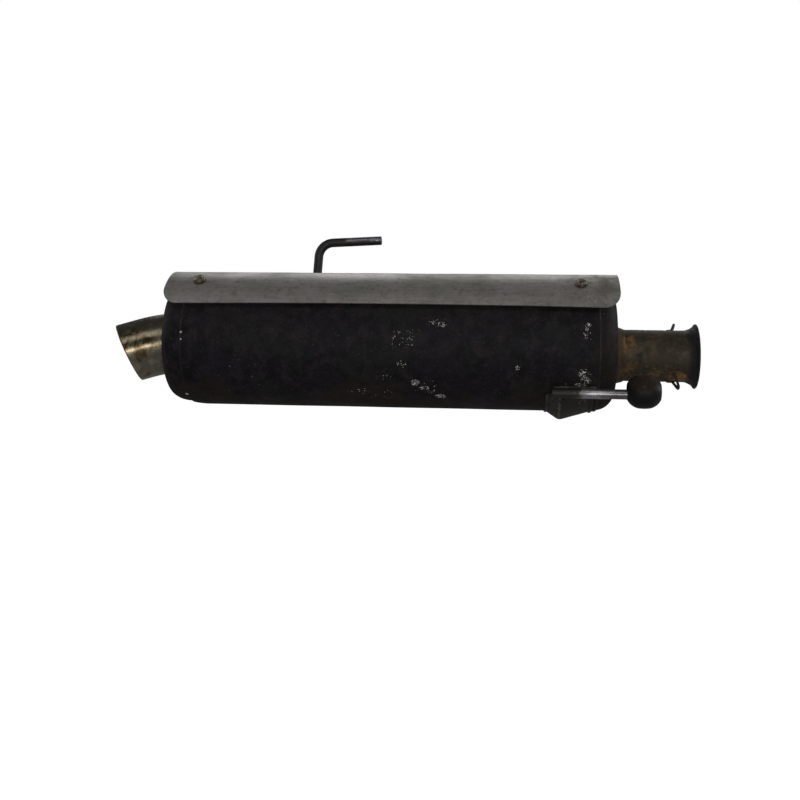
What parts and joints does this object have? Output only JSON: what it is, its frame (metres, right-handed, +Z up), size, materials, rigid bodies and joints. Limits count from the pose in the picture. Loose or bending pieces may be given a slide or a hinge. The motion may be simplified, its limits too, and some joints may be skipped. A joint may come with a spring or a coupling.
{
  "type": "exhaust muffler",
  "caption": "Cylindrical exhaust muffler with a flared ball-joint inlet, slash-cut tail pipe, bolted heat shield, hanger rods, rubber isolator and a baffled inside.",
  "frame": {"origin": "on the inlet pipe's axis, at the outer end of its straight bore, where the bell starts to open", "axes": "+X out of the inlet towards the header, along the can's axis; +Z up as the muffler hangs, on the heat shield's side; -Y the outer side, where the lower hanger rod is"},
  "size_m": [0.5812, 0.1442, 0.1866],
  "materials": {
    "can_black": "worn satin black",
    "bare_steel": "weathered bare sheet",
    "rusty_steel": "rust-stained and burnt",
    "tinted_stainless": "heat-tinted bronze",
    "zinc_screw": "dulled zinc",
    "rod_black": "black, worn to bare bar at the ends",
    "bracket_black": "black with weld spatter",
    "isolator_rubber": "dusty black rubber",
    "inner_steel": "plain mill",
    "packing_fibre": "mineral fibre mat"
  },
  "bodies": {
    "muffler": {"body_shell": "can_black", "front_end_cap": "can_black", "rear_end_cap": "can_black", "inlet_pipe": "rusty_steel", "inlet_collar": "rusty_steel", "spring_hook_lower": "rusty_steel", "spring_hook_upper": "rusty_steel", "tail_pipe": "tinted_stainless", "heat_shield": "bare_steel", "shield_screws": "zinc_screw", "shield_standoffs": "can_black", "top_hanger_pad": "can_black", "top_hanger_rod": "rod_black", "lower_hanger_rod": "rod_black", "lower_hanger_bracket": "bracket_black", "inner_liner": "inner_steel", "body_packing": "packing_fibre", "front_baffle": "inner_steel", "middle_baffle": "inner_steel", "rear_baffle": "inner_steel", "inlet_core": "inner_steel", "transfer_tube_outer": "inner_steel", "transfer_tube_inner": "inner_steel", "outlet_core": "inner_steel", "spark_screen": "tinted_stainless", "spark_screen_ring": "tinted_stainless"},
    "isolator": {"lower_isolator": "isolator_rubber"}
  },
  "joints": [
    {"name": "isolator_slide", "type": "slide", "parent": "muffler", "child": "isolator", "axis": [1, 0, 0], "range_m": [-0.008, 0.02]}
  ]
}
